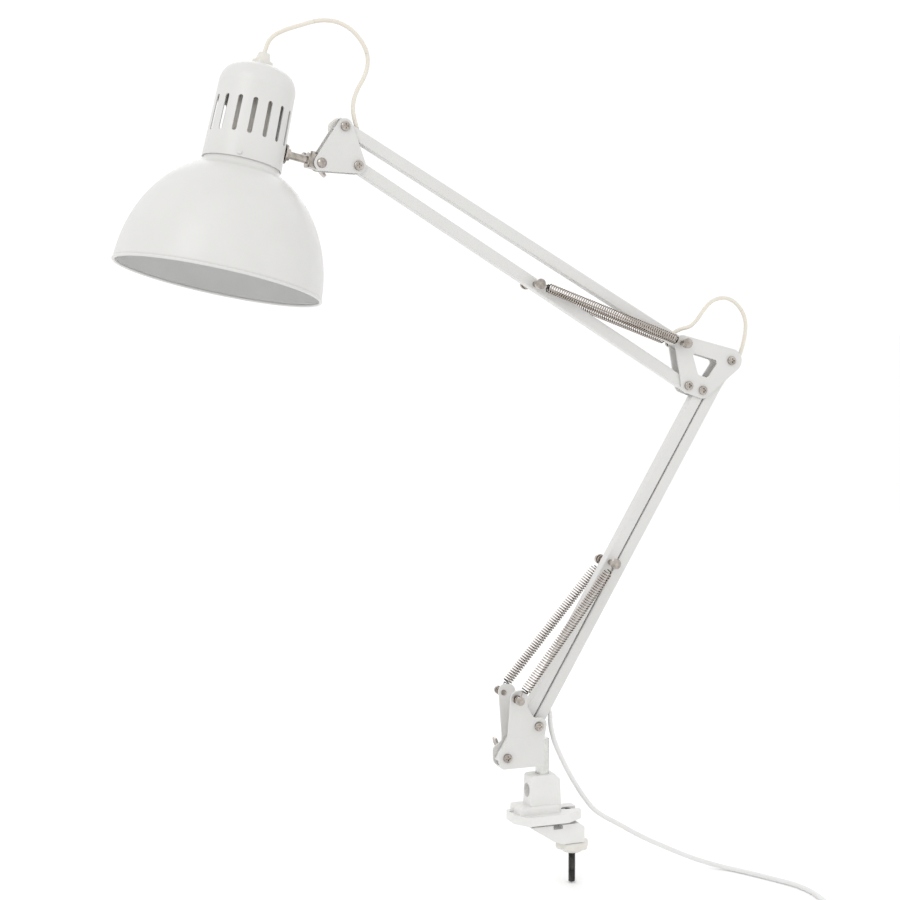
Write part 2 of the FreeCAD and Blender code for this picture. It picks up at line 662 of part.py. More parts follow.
def upper_bottom_tube():
    """The head end stops short of the screw at H2, which leaves the linkage room to move."""
    reach = H2 - B
    angle = math.degrees(math.atan2(reach.z, reach.x))
    tube = square_tube(B, reach.Length, angle, TUBE_END, -4.2)
    return tube.cut([
        cylinder_y(SCREW_RADIUS + RUNNING, -TUBE_SIZE, TUBE_SIZE, B),
        cylinder_y(PIN_RADIUS, -TUBE_SIZE, TUBE_SIZE, UPPER_PIN),
    ])


def cord_inside(start, angle, first, last):
    """Straight length of cord lying inside a tube."""
    direction = heading(angle)
    return Part.makeCylinder(LOOP_CORD_RADIUS, last - first, start + direction * first, direction)


# ---- Elbow ----------------------------------------------------------------------------------
def elbow_plate():
    circles = [(D, 7.0), (A, 10.5), (C, 7.5), (B, 6.8)]
    plate = hull_plate(circles, -PLATE_OUTSIDE, -PLATE_INSIDE)
    window = slab([(140.8, 411.5, 2), (167.9, 403.7, 3), (157, 388.6, 3), (147, 391.6, 3)],
                  -PLATE_OUTSIDE - 1, -PLATE_INSIDE + 1)
    holes = [cylinder_y(SCREW_RADIUS, -PLATE_OUTSIDE, -PLATE_INSIDE, at) for at in (A, B, C)]
    holes.append(cylinder_y(PIN_RADIUS, -PLATE_OUTSIDE, -PLATE_INSIDE, D))
    return plate.cut([window] + holes)


def elbow_pivot_screws():
    return Part.makeCompound([pan_screw(at, -PLATE_OUTSIDE, 11.6) for at in (A, B, C)])


def elbow_lock_nuts():
    return Part.makeCompound([lock_nut(at, PLATE_OUTSIDE) for at in (A, B, C)])


# ---- Head -----------------------------------------------------------------------------------
def head_plate():
    circles = [(H1, 6.5), (H2, 6.5), (K, 6.5)]
    plate = hull_plate(circles, -PLATE_OUTSIDE, -PLATE_INSIDE)
    holes = [cylinder_y(SCREW_RADIUS, -PLATE_OUTSIDE, -PLATE_INSIDE, at) for at in (H1, H2, K)]
    return plate.cut(holes)


def head_knob():
    knob = cylinder_y(HEAD_KNOB_RADIUS, *HEAD_KNOB_FACES, H1)
    rims = [edge for edge in knob.Edges if edge.BoundBox.YLength < RUNNING]
    knob = knob.makeFillet(HEAD_KNOB_ROUND, rims)
    return knob.cut(cylinder_y(SCREW_RADIUS + RUNNING, 0, HEAD_KNOB_BORE_END, H1))


def knuckle_bolt():
    bolt = cylinder_y(SCREW_RADIUS, -PLATE_OUTSIDE, BOLT_TIP, K)
    dome = Part.makeSphere(DOME_RADIUS, Vector(K.x, -PLATE_OUTSIDE + DOME_DEPTH, K.z))
    outside = cylinder_y(2 * DOME_RADIUS, -PLATE_OUTSIDE - DOME_RADIUS, -PLATE_OUTSIDE, K)
    return fused([bolt, dome.common(outside)])


def knuckle_block():
    """Block that turns on the knuckle bolt and holds the shade's rod in its bore."""
    half = PLATE_INSIDE - 0.4
    origin = Vector(0, 0, 0)
    eye = cylinder_y(KNUCKLE_EYE_RADIUS, -half, half, origin)
    body = Part.makeBox(KNUCKLE_REACH, 2 * half, 2 * KNUCKLE_HALF_HEIGHT,
                        Vector(-KNUCKLE_REACH, -half, -KNUCKLE_HALF_HEIGHT))
    block = fused([eye, body])
    bolt_hole = cylinder_y(SCREW_RADIUS + RUNNING, -PLATE_INSIDE, PLATE_INSIDE, origin)
    rod_hole = Part.makeCylinder(KNUCKLE_ROD_RADIUS + RUNNING, KNUCKLE_REACH,
                                 Vector(KNUCKLE_ROD_END - KNUCKLE_REACH + 0.4, 0, 0), AXIS_X)
    screw_hole = Part.makeCylinder(CLAMP_SCREW_RADIUS, 2 * KNUCKLE_HALF_HEIGHT,
                                   Vector(CLAMP_SCREW_X, 0, KNUCKLE_ROD_RADIUS - 0.8))
    return on_knuckle(block.cut([bolt_hole, rod_hole, screw_hole]))


def knuckle_clamp_screw():
    shank = Part.makeCylinder(CLAMP_SCREW_RADIUS, CLAMP_SCREW_LENGTH,
                              Vector(CLAMP_SCREW_X, 0, KNUCKLE_ROD_RADIUS + 0.35))
    head = Part.makeCylinder(2.9, 2.2, Vector(CLAMP_SCREW_X, 0, KNUCKLE_HALF_HEIGHT))
    slot = Part.makeBox(8, 0.9, 2, Vector(CLAMP_SCREW_X - 4, -0.45, KNUCKLE_HALF_HEIGHT + 1.2))
    return on_knuckle(fused([shank, head]).cut(slot))


# ---- Shade ----------------------------------------------------------------------------------
def rivet_cylinders(radius, start, end):
    """Cylinders that point out from the shade axis, where the cap is riveted to the bowl."""
    cylinders = []
    for angle in RIVET_ANGLES:
        cylinder = Part.makeCylinder(radius, end - start, Vector(start, 0, RIM_Z + RIVET_HEIGHT),
                                     AXIS_X)
        cylinder.rotate(Vector(0, 0, 0), AXIS_Z, angle)
        cylinder.translate(Vector(SHADE_AXIS_X, 0, 0))
        cylinders.append(cylinder)
    return cylinders


def bowl_curve(offset):
    """Bell profile from the rim to the neck, moved inward by offset."""
    points = []
    for step in range(9):
        angle = math.radians(1.5 + (62.0 - 1.5) * step / 8)
        radius = (RIM_RADIUS - offset) * math.cos(angle)
        height = -2 + (BOWL_HEIGHT - offset) * math.sin(angle)
        points.append(profile_point(radius, height))
    points.append(profile_point(COLLAR_RADIUS - offset, CAP_BOTTOM - offset * 0.3))
    curve = Part.BSplineCurve()
    curve.interpolate(points)
    return curve.toShape(), points[0], points[-1]


def shade_bowl():
    outer, rim_out, neck_out = bowl_curve(0.0)
    inner, rim_in, neck_in = bowl_curve(SHEET)
    collar_top = RIM_Z + CAP_BOTTOM + COLLAR_HEIGHT
    collar_out = Vector(neck_out.x, 0, collar_top)
    collar_in = Vector(neck_in.x, 0, collar_top)
    shell = revolved([
        outer, inner,
        Part.makeLine(rim_out, rim_in),
        Part.makeLine(neck_out, collar_out),
        Part.makeLine(collar_out, collar_in),
        Part.makeLine(collar_in, neck_in),
    ])
    bead = Part.makeTorus(RIM_RADIUS - SHEET / 2, RIM_BEAD, Vector(SHADE_AXIS_X, 0, RIM_Z + 0.6))
    holes = rivet_cylinders(RIVET_RADIUS + RUNNING, CAP_RADIUS_LOW - 5, CAP_RADIUS_LOW + 5)
    return on_shade(fused([shell, bead]).cut(holes))


def cap_solid(offset):
    """Solid of revolution inside the cap's outer face, moved inward by offset."""
    low = CAP_RADIUS_LOW - offset
    high = CAP_RADIUS_HIGH - offset
    top = CAP_TOP - offset
    crown = Part.BSplineCurve()
    crown.interpolate([
        profile_point(high, CAP_SHOULDER),
        profile_point(high * 0.963, CAP_SHOULDER + (top - CAP_SHOULDER) * 0.40),
        profile_point(high * 0.84, CAP_SHOULDER + (top - CAP_SHOULDER) * 0.69),
        profile_point(high * 0.58, CAP_SHOULDER + (top - CAP_SHOULDER) * 0.89),
        profile_point(0, top),
    ])
    return revolved([
        crown.toShape(),
        Part.makeLine(profile_point(high, CAP_SHOULDER), profile_point(low, CAP_BOTTOM)),
        Part.makeLine(profile_point(low, CAP_BOTTOM), profile_point(0, CAP_BOTTOM)),
        Part.makeLine(profile_point(0, CAP_BOTTOM), profile_point(0, top)),
    ])


def shade_cap():
    cap = cap_solid(0.0).cut(cap_solid(SHEET))
    cutters = []
    half = VENT_WIDTH / 2
    for index in range(VENTS):
        angle = 360 * (index + 0.5) / VENTS
        slot = Part.makeBox(20, VENT_WIDTH, VENT_HIGH - VENT_LOW - VENT_WIDTH,
                            Vector(20, -half, RIM_Z + VENT_LOW + half))
        ends = [
            Part.makeCylinder(half, 20, Vector(20, 0, RIM_Z + height), AXIS_X)
            for height in (VENT_LOW + half, VENT_HIGH - half)
        ]
        cutter = fused([slot] + ends)
        cutter.rotate(Vector(0, 0, 0), AXIS_Z, angle)
        cutter.translate(Vector(SHADE_AXIS_X, 0, 0))
        cutters.append(cutter)
    cutters.append(shade_cylinder(GLAND_NECK_RADIUS + 0.1, CAP_BOTTOM, CAP_TOP + 5))
    cutters.append(Part.makeCylinder(3.3, 20, Vector(SHADE_AXIS_X + 25, 0, 0), AXIS_X))
    cutters += rivet_cylinders(RIVET_RADIUS + RUNNING, CAP_RADIUS_LOW - 5, CAP_RADIUS_LOW + 5)
    return on_shade(cap.cut(cutters))


def cord_gland():
    flange = shade_cylinder(GLAND_RADIUS, CAP_TOP - 3, CAP_TOP + 3).cut(cap_solid(0.0))
    collar = Part.makeCone(6.6, 4.6, GLAND_TOP - CAP_TOP - 3,
                           Vector(SHADE_AXIS_X, 0, RIM_Z + CAP_TOP + 3))
    neck = shade_cylinder(GLAND_NECK_RADIUS, CAP_TOP - 6, CAP_TOP + 1)
    bore = shade_cylinder(LOOP_CORD_RADIUS + 0.15, GLAND_TOP - GLAND_BORE_DEPTH, GLAND_TOP + 1)
    return on_shade(fused([flange, collar, neck]).cut(bore))


def lampholder():
    body = shade_cylinder(HOLDER_RADIUS, HOLDER_BOTTOM, HOLDER_TOP - 6)
    shoulder = Part.makeCone(HOLDER_RADIUS, 9.0, 6,
                             Vector(SHADE_AXIS_X, 0, RIM_Z + HOLDER_TOP - 6))
    skirt = shade_cylinder(HOLDER_RADIUS + 1.2, HOLDER_BOTTOM, HOLDER_BOTTOM + 4)
    bore = shade_cylinder(THREAD_RADIUS + 1.0, HOLDER_BOTTOM, HOLDER_BOTTOM + THREAD_LENGTH + 8)
    return on_shade(fused([body, shoulder, skirt]).cut(bore))


def lampholder_thread_shell():
    low = HOLDER_BOTTOM + 6
    shell = shade_cylinder(THREAD_RADIUS + 1.0, low, low + THREAD_LENGTH)
    return on_shade(shell.cut(shade_cylinder(THREAD_RADIUS, low, low + THREAD_LENGTH)))


def lampholder_contact():
    seat = HOLDER_BOTTOM + THREAD_LENGTH + 8
    return on_shade(shade_cylinder(3.0, seat - 1.8, seat))


def lampholder_nipple():
    """Threaded tube between the lampholder and the cord gland."""
    return on_shade(shade_cylinder(4.8, HOLDER_TOP, CAP_TOP - 6))


def knuckle_rod():
    inside_wall = Vector(SHADE_AXIS_X + 29.5, 0, 0)
    rod = Part.makeCylinder(KNUCKLE_ROD_RADIUS, KNUCKLE_ROD_END - inside_wall.x, inside_wall, AXIS_X)
    return on_shade(rod)


def rod_disc(outer, x_low, x_high):
    disc = Part.makeCylinder(outer, x_high - x_low, Vector(x_low, 0, 0), AXIS_X)
    return disc.cut(Part.makeCylinder(KNUCKLE_ROD_RADIUS, 60, Vector(-50, 0, 0), AXIS_X))


def rod_flange():
    face = SHADE_AXIS_X + CAP_RADIUS_LOW
    disc = rod_disc(8.2, face, face + 1.6)
    nut = rod_disc(5.0, face + 1.6, face + 4.4)
    return on_shade(fused([disc, nut]))


def rod_lock_nut():
    inside = SHADE_AXIS_X + CAP_RADIUS_LOW - SHEET - 1.4
    return on_shade(rod_disc(5.6, inside - 2.6, inside))


def rod_washer():
    return on_shade(rod_disc(6.5, -11.4, -9.9))


def cap_rivets():
    shanks = rivet_cylinders(RIVET_RADIUS, CAP_RADIUS_LOW - 2.6, CAP_RADIUS_LOW + 0.8)
    return Part.makeCompound([on_shade(shank) for shank in shanks])


# ---- Cord -----------------------------------------------------------------------------------
def head_cord(first, last):
    start = shade_point(0, 0, GLAND_TOP - GLAND_BORE_DEPTH)
    route = [tuple(start)] + HEAD_LOOP
    end = len(route) - 1
    piece = shortened(route[first:last + 1], CORD_GAP if first > 0 else 0,
                      CORD_GAP if last < end else 0)
    return cord_tube(piece, LOOP_CORD_RADIUS)


def elbow_cord_upper():
    route = flat_route(ELBOW_LOOP[:ELBOW_SPLIT + 1])
    return cord_tube(shortened(route, 0, CORD_GAP), LOOP_CORD_RADIUS)


def elbow_cord_lower():
    route = flat_route(ELBOW_LOOP[ELBOW_SPLIT:])
    return cord_tube(shortened(route, CORD_GAP, 0), LOOP_CORD_RADIUS)


def mains_coil():
    outer = Part.makeCylinder(COIL_RADIUS + COIL_WIDTH / 2, COIL_HEIGHT,
                              COIL_CENTRE - AXIS_Z * (COIL_HEIGHT / 2))
    inner = Part.makeCylinder(COIL_RADIUS - COIL_WIDTH / 2, COIL_HEIGHT,
                              COIL_CENTRE - AXIS_Z * (COIL_HEIGHT / 2))
    return outer.cut(inner)


def mains_plug():
    """Two-pin plug lying on its flat side, with a tapered strain relief round the cord."""
    end = Vector(*PLUG_LEAD[-1])
    direction = (end - Vector(*PLUG_LEAD[-2])).normalize()
    length, width, height = PLUG_BODY
    relief = Part.makeCone(3.2, 4.8, 24, Vector(0, 0, 0), AXIS_X)
    body = Part.makeBox(length - 24, width, height, Vector(24, -width / 2, -height / 2))
    body = body.makeFillet(3.0, [edge for edge in body.Edges if edge.Length < length - 20])
    pins = [
        Part.makeCylinder(2.0, 19, Vector(length, side * 9.5, 0), AXIS_X) for side in (-1, 1)
    ]
    plug = fused([relief, body] + pins)
    yaw = math.degrees(math.atan2(direction.y, direction.x))
    plug.Placement = FreeCAD.Placement(end, FreeCAD.Rotation(AXIS_Z, yaw))
    return plug


def mains_cord():
    """The lead down to the coil, and the short length from the coil to the plug."""
    return Part.makeCompound([
        cord_tube(MAINS_LEAD, MAINS_CORD_RADIUS),
        cord_tube(PLUG_LEAD, MAINS_CORD_RADIUS),
    ])


NODES = {
    "clamp_block": clamp_block,
    "clamp_hook_rod": clamp_hook_rod,
    "clamp_jaw": clamp_jaw,
    "clamp_knob": clamp_knob,
    "clamp_knob_nut": clamp_knob_nut,
    "yoke_bracket": yoke_bracket,
    "swivel_pin": swivel_pin,
    "yoke_pivot_screws": yoke_pivot_screws,
    "yoke_lock_nut": lambda: lock_nut(P1, 9.4),
    "yoke_wing_nut": lambda: wing_nut(P3, YOKE_INSIDE + YOKE_SHEET + 0.3, 100),
    "yoke_spacers": yoke_spacers,
    "yoke_spring_studs": yoke_spring_studs,
    "lower_rear_tube": lower_rear_tube,
    "lower_front_tube": lower_front_tube,
    "lower_spring_pin": lambda: spring_pin(LOWER_PIN, PIN_END),
    "lower_springs": lambda: spring_pair(P2, LOWER_PIN, LOWER_SPRING_Y),
    "lower_spring_end_hooks": lambda: spring_end_hooks(P2, LOWER_PIN, LOWER_SPRING_Y),
    "elbow_near_plate": elbow_plate,
    "elbow_far_plate": lambda: mirrored(elbow_plate()),
    "elbow_pivot_screws": elbow_pivot_screws,
    "elbow_lock_nuts": elbow_lock_nuts,
    "elbow_washers": lambda: washers(
        [(A, SCREW_RADIUS), (B, SCREW_RADIUS), (C, SCREW_RADIUS), (D, PIN_RADIUS)]),
    "elbow_spring_pin": lambda: spring_pin(D, PIN_END),
    "upper_top_tube": upper_top_tube,
    "upper_bottom_tube": upper_bottom_tube,
    "upper_spring_pin": lambda: spring_pin(UPPER_PIN, PIN_END),
    "upper_springs": lambda: spring_pair(D, UPPER_PIN, UPPER_SPRING_Y),
    "upper_spring_end_hooks": lambda: spring_end_hooks(D, UPPER_PIN, UPPER_SPRING_Y),
    "head_near_plate": head_plate,
    "head_far_plate": lambda: mirrored(head_plate()),
    "head_pivot_screws": lambda: Part.makeCompound(
        [pan_screw(H1, -PLATE_OUTSIDE, 13.0), pan_screw(H2, -PLATE_OUTSIDE, 11.6)]),
    "head_lock_nut": lambda: lock_nut(H2, PLATE_OUTSIDE),
    "head_washers": lambda: washers([(H1, SCREW_RADIUS)]),
    "head_knob": head_knob,
    "knuckle_bolt": knuckle_bolt,
    "knuckle_wing_nut": lambda: wing_nut(K, PLATE_OUTSIDE + 0.3, 135),
    "knuckle_block": knuckle_block,
    "knuckle_clamp_screw": knuckle_clamp_screw,
    "knuckle_rod": knuckle_rod,
    "rod_flange": rod_flange,
    "rod_lock_nut": rod_lock_nut,
    "rod_washer": rod_washer,
    "shade_bowl": shade_bowl,
    "shade_cap": shade_cap,
    "cap_rivets": cap_rivets,
    "cord_gland": cord_gland,
    "lampholder": lampholder,
    "lampholder_thread_shell": lampholder_thread_shell,
    "lampholder_contact": lampholder_contact,
    "lampholder_nipple": lampholder_nipple,
    "head_cord_upper": lambda: head_cord(0, HEAD_SPLIT[0]),
    "head_cord_middle": lambda: head_cord(HEAD_SPLIT[0], HEAD_SPLIT[1]),
    "head_cord_lower": lambda: head_cord(HEAD_SPLIT[1], len(HEAD_LOOP)),
    "cord_in_upper_arm": lambda: cord_inside(D, UPPER_ANGLE, 18.0, UPPER_LENGTH - 20.0),
    "elbow_cord_upper": elbow_cord_upper,
    "elbow_cord_lower": elbow_cord_lower,
    "cord_in_lower_arm": lambda: cord_inside(P1, ARM_ANGLE, 28.0, ARM_LENGTH - 34.0),
    "mains_cord": mains_cord,
    "mains_cord_coil": mains_coil,
    "mains_plug": mains_plug,
}

os.makedirs("parts", exist_ok=True)
for name, build in NODES.items():
    shape = build()
    if not shape.isValid():
        print("not valid:", name)
    print(name, round(shape.Volume), len(shape.Solids))
    shape.exportStep("parts/" + name + ".step")
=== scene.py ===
import json
import math

import bmesh
import bpy
from mathutils import Matrix, Vector


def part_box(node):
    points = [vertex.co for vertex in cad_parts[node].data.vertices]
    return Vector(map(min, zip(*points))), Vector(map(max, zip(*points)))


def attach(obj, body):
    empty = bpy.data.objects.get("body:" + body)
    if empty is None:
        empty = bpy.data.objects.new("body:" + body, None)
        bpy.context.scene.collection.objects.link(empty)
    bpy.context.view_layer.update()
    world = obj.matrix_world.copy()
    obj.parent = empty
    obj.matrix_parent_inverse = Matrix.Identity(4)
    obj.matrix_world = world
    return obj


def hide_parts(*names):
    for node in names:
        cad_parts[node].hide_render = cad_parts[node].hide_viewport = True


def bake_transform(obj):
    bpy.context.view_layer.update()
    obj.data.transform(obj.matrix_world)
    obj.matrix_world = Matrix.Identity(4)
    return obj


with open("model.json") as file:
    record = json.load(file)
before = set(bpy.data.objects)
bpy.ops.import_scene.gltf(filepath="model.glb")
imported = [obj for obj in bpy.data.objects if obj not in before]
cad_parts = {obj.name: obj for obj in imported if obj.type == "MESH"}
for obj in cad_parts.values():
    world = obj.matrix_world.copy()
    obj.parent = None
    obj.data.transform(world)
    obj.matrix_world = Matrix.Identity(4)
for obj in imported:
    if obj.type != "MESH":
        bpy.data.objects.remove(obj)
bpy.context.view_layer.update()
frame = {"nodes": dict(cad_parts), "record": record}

NODES = frame["nodes"]
JOINTS = {joint["name"]: joint for joint in frame["record"]["behaviour"]["joints"]}
MM = 0.001

# ---- Materials --------------------------------------------------------------------------------


class Shader:
    """A small builder round one node material."""

    def __init__(self, name, **sockets):
        self.material = bpy.data.materials.new(name)
        self.material.use_nodes = True
        self.tree = self.material.node_tree
        self.shader = self.tree.nodes["Principled BSDF"]
        for socket, value in sockets.items():
            self.shader.inputs[socket.replace("_", " ")].default_value = value
        self.place = self.add("ShaderNodeTexCoord").outputs["Object"]

    def add(self, kind, **settings):
        node = self.tree.nodes.new(kind)
        for key, value in settings.items():
            if key in node.inputs:
                node.inputs[key].default_value = value
            else:
                setattr(node, key, value)
        return node

    def link(self, source, target):
        self.tree.links.new(source, target)

    def noise(self, scale, detail=3.0, roughness=0.5):
        node = self.add("ShaderNodeTexNoise", Scale=scale, Detail=detail, Roughness=roughness)
        self.link(self.place, node.inputs["Vector"])
        return node.outputs["Fac"]

    def ramp(self, source, low, high, first, last):
        """Colour ramp from first to last as source goes from low to high."""
        node = self.add("ShaderNodeValToRGB")
        node.color_ramp.elements[0].position = low
        node.color_ramp.elements[1].position = high
        node.color_ramp.elements[0].color = (*first, 1)
        node.color_ramp.elements[1].color = (*last, 1)
        self.link(source, node.inputs["Fac"])
        return node.outputs["Color"]

    def spread(self, source, low, high):
        """Map the usual range of a noise, 0.3 to 0.7, to low..high."""
        node = self.add("ShaderNodeMapRange")
        node.inputs["From Min"].default_value = 0.3
        node.inputs["From Max"].default_value = 0.7
        node.inputs["To Min"].default_value = low
        node.inputs["To Max"].default_value = high
        self.link(source, node.inputs["Value"])
        return node.outputs["Result"]

    def bump(self, height, strength, distance):
        node = self.add("ShaderNodeBump", Strength=strength, Distance=distance)
        self.link(height, node.inputs["Height"])
        self.link(node.outputs["Normal"], self.shader.inputs["Normal"])

    def colour(self, output):
        self.link(output, self.shader.inputs["Base Color"])

    def rough(self, output):
        self.link(output, self.shader.inputs["Roughness"])


def powder_coat(name, light, dark, roughness, peel):
    """Painted metal: faint orange peel, slightly uneven gloss, a little darker in broad patches."""
    coat = Shader(name, Coat_Weight=0.15, Coat_Roughness=0.25)
    coat.colour(coat.ramp(coat.noise(18, 4, 0.6), 0.3, 0.62, dark, light))
    coat.rough(coat.spread(coat.noise(90, 3), roughness - 0.05, roughness + 0.07))
    coat.bump(coat.noise(700, 2, 0.4), peel, 0.00006)
    return coat.material


def plated(name, light, dark, roughness):
    """Nickel plate: bright, a little warm, with fine scratches and dull patches."""
    metal = Shader(name, Metallic=1.0)
    metal.colour(metal.ramp(metal.noise(160, 4, 0.65), 0.32, 0.7, dark, light))
    metal.rough(metal.spread(metal.noise(420, 3), roughness - 0.06, roughness + 0.1))
    metal.bump(metal.noise(900, 3, 0.6), 0.12, 0.00004)
    return metal.material


def moulded(name, light, dark, roughness, grain, clear):
    """Moulded plastic or PVC sheath with soft mottling and a fine grain."""
    plastic = Shader(name, Subsurface_Weight=0.05, Subsurface_Scale=0.002, Coat_Weight=clear)
    plastic.colour(plastic.ramp(plastic.noise(60, 3, 0.5), 0.3, 0.7, dark, light))
    plastic.rough(plastic.spread(plastic.noise(240, 2), roughness - 0.05, roughness + 0.08))
    plastic.bump(plastic.noise(800, 2, 0.5), grain, 0.00005)
    return plastic.material


MATERIALS = {
    "white_steel": powder_coat(
        "white_powder_coat", light=(0.655, 0.65, 0.635), dark=(0.63, 0.625, 0.61), roughness=0.36, peel=0.12),
    # Painted shade: a slightly darker copy of the white coat for the inside of the bowl, standing in for the
    # shade that falls there.
    "shade_inside": powder_coat(
        "white_shade_inside_painted_shade", light=(0.60, 0.60, 0.595), dark=(0.56, 0.56, 0.555), roughness=0.45, peel=0.12),
    "white_cast": powder_coat(
        "white_cast_coat", light=(0.74, 0.735, 0.72), dark=(0.68, 0.675, 0.66), roughness=0.42, peel=0.45),
    "nickel": plated(
        "nickel_plate", light=(0.58, 0.54, 0.50), dark=(0.26, 0.23, 0.205), roughness=0.16),
    "spring_wire": plated(
        "spring_wire", light=(0.58, 0.50, 0.44), dark=(0.40, 0.34, 0.29), roughness=0.2),
    # Painted shade: a near-black copy of the spring wire for the coil's inner faces, standing in for the
    # shade inside the coil.
    "spring_inside": plated(
        "spring_wire_painted_shade", light=(0.10, 0.08, 0.065), dark=(0.05, 0.04, 0.032), roughness=0.5),
    "zinc": plated(
        "zinc_plate", light=(0.72, 0.72, 0.70), dark=(0.60, 0.60, 0.58), roughness=0.3),
    "black_steel": plated(
        "blackened_steel", light=(0.10, 0.095, 0.09), dark=(0.03, 0.03, 0.03), roughness=0.34),
    "brass": plated(
        "brass_plate", light=(0.86, 0.66, 0.32), dark=(0.66, 0.47, 0.2), roughness=0.26),
    "white_plastic": moulded(
        "white_moulding", light=(0.72, 0.70, 0.655), dark=(0.68, 0.66, 0.615),
        roughness=0.32, grain=0.1, clear=0.3),
    "nylon": moulded(
        "natural_nylon", light=(0.74, 0.73, 0.68), dark=(0.68, 0.67, 0.62),
        roughness=0.45, grain=0.1, clear=0.0),
    "cream_cord": moulded(
        "cream_sheath", light=(0.74, 0.70, 0.62), dark=(0.70, 0.66, 0.58),
        roughness=0.42, grain=0.08, clear=0.1),
    "white_cord": moulded(
        "white_sheath", light=(0.74, 0.74, 0.73), dark=(0.70, 0.70, 0.69),
        roughness=0.42, grain=0.08, clear=0.1),
}

# ---- Mesh helpers -----------------------------------------------------------------------------


def mesh_object(name, vertices, faces, slot):
    mesh = bpy.data.meshes.new(name)
    mesh.from_pydata([tuple(v) for v in vertices], [], faces)
    mesh.validate()
    shell = bmesh.new()
    shell.from_mesh(mesh)
    bmesh.ops.recalc_face_normals(shell, faces=shell.faces)
    shell.to_mesh(mesh)
    shell.free()
    for polygon in mesh.polygons:
        polygon.use_smooth = True
    mesh.materials.append(MATERIALS[slot])
    piece = bpy.data.objects.new(name, mesh)
    bpy.context.scene.collection.objects.link(piece)
    return piece


def turned_faces(steps, count):
    """Faces of a closed profile of count points, turned full circle in steps."""
    faces = []
    for index in range(steps):
        here, there = index * count, (index + 1) % steps * count
        for step in range(count):
            after = (step + 1) % count
            faces.append((here + step, there + step, there + after, here + after))
    return faces


def skin_faces(rows, sides):
    """Faces of a capped skin through rows of sides points."""
    faces = []
    for step in range(rows - 1):
        for index in range(sides):
            nearby = (index + 1) % sides
            low, high = step * sides, (step + 1) * sides
            faces.append((low + index, low + nearby, high + nearby, high + index))
    faces.append(tuple(reversed(range(sides))))
    last = (rows - 1) * sides
    faces.append(tuple(last + index for index in range(sides)))
    return faces


def frames_along(points):
    """A pair of directions square to the path at each point, carried without twist."""
    tangents = []
    for index in range(len(points)):
        before = points[max(index - 1, 0)]
        after = points[min(index + 1, len(points) - 1)]
        tangents.append((after - before).normalized())
    side = tangents[0].orthogonal().normalized()
    frames = []
    for tangent in tangents:
        side = (side - tangent * side.dot(tangent)).normalized()
        frames.append((side.copy(), tangent.cross(side)))
    return frames


def tube(name, points, radius, slot, sides):
    """Closed tube round a path; radius is a number or a function of (step, angle)."""
    frames = frames_along(points)
    vertices = []
    for step, (point, (side, up)) in enumerate(zip(points, frames)):
        for index in range(sides):
            angle = math.tau * index / sides
            size = radius(step, angle) if callable(radius) else radius
            vertices.append(point + (side * math.cos(angle) + up * math.sin(angle)) * size)
    return mesh_object(name, vertices, skin_faces(len(points), sides), slot)


def lathe(name, profile, place, slot, steps):
    """Turn a closed (radius, height) profile round the +Z of a placement matrix."""
    vertices = []
    for index in range(steps):
        angle = math.tau * index / steps
        for radius, height in profile:
            point = Vector((radius * math.cos(angle), radius * math.sin(angle), height))
            vertices.append(place @ point)
    return mesh_object(name, vertices, turned_faces(steps, len(profile)), slot)


def soften(node, width, angle):
    """Rounded edges on a CAD node."""
    bevel = node.modifiers.new("edges", "BEVEL")
    bevel.width = width
    bevel.segments = 2
    bevel.limit_method = "ANGLE"
    bevel.angle_limit = math.radians(angle)


def curve_points(name, points, resolution):
    """Points read from the NURBS curve through a route's control points."""
    data = bpy.data.curves.new(name, "CURVE")
    data.dimensions = "3D"
    data.resolution_u = resolution
    spline = data.splines.new("NURBS")
    spline.points.add(len(points) - 1)
    for control, point in zip(spline.points, points):
        control.co = (*point, 1)
    spline.order_u = 3
    spline.use_endpoint_u = True
    curve = bpy.data.objects.new(name, data)
    bpy.context.scene.collection.objects.link(curve)
    mesh = bpy.data.meshes.new_from_object(curve)
    line = [vertex.co.copy() for vertex in mesh.vertices]
    bpy.data.objects.remove(curve)
    return line


# ---- Camera, lights, floor --------------------------------------------------------------------
FLOOR_Z = -0.060
FLOOR_HALF = 30.0
CAMERA_PLACE = (-0.6235, -1.4351, 0.4508)
CAMERA_TARGET = (-0.0869, 0.0, 0.3302)
LENS = 72
SENSOR_WIDTH = 36
LIGHT_TARGET = (-0.05, 0.0, 0.3)
WORLD_STRENGTH = 1.06


def camera():
    data = bpy.data.cameras.new("camera")
    data.lens = LENS
    data.sensor_width = SENSOR_WIDTH
    eye = bpy.data.objects.new("camera", data)
    eye.location = CAMERA_PLACE
    aim = Vector(CAMERA_TARGET) - Vector(eye.location)
    eye.rotation_euler = aim.to_track_quat("-Z", "Y").to_euler()
    bpy.context.scene.collection.objects.link(eye)
    bpy.context.scene.camera = eye


def area_light(name, place, size, power):
    data = bpy.data.lights.new(name, "AREA")
    data.size = size
    data.energy = power
    lamp = bpy.data.objects.new(name, data)
    lamp.location = place
    lamp.rotation_euler = (Vector(LIGHT_TARGET) - Vector(place)).to_track_quat("-Z", "Y").to_euler()
    bpy.context.scene.collection.objects.link(lamp)


def studio():
    area_light("key", (-1.6, -1.2, 1.9), size=1.2, power=8)
    area_light("fill", (1.7, -1.3, 0.9), size=1.6, power=1.5)
    area_light("back", (0.4, 1.7, 1.5), size=1.4, power=4)
    world = bpy.data.worlds.new("studio")
    world.use_nodes = True
    background = world.node_tree.nodes["Background"]
    background.inputs["Color"].default_value = (1, 1, 1, 1)
    background.inputs["Strength"].default_value = WORLD_STRENGTH
    bpy.context.scene.world = world
    bpy.context.scene.view_settings.view_transform = "Standard"


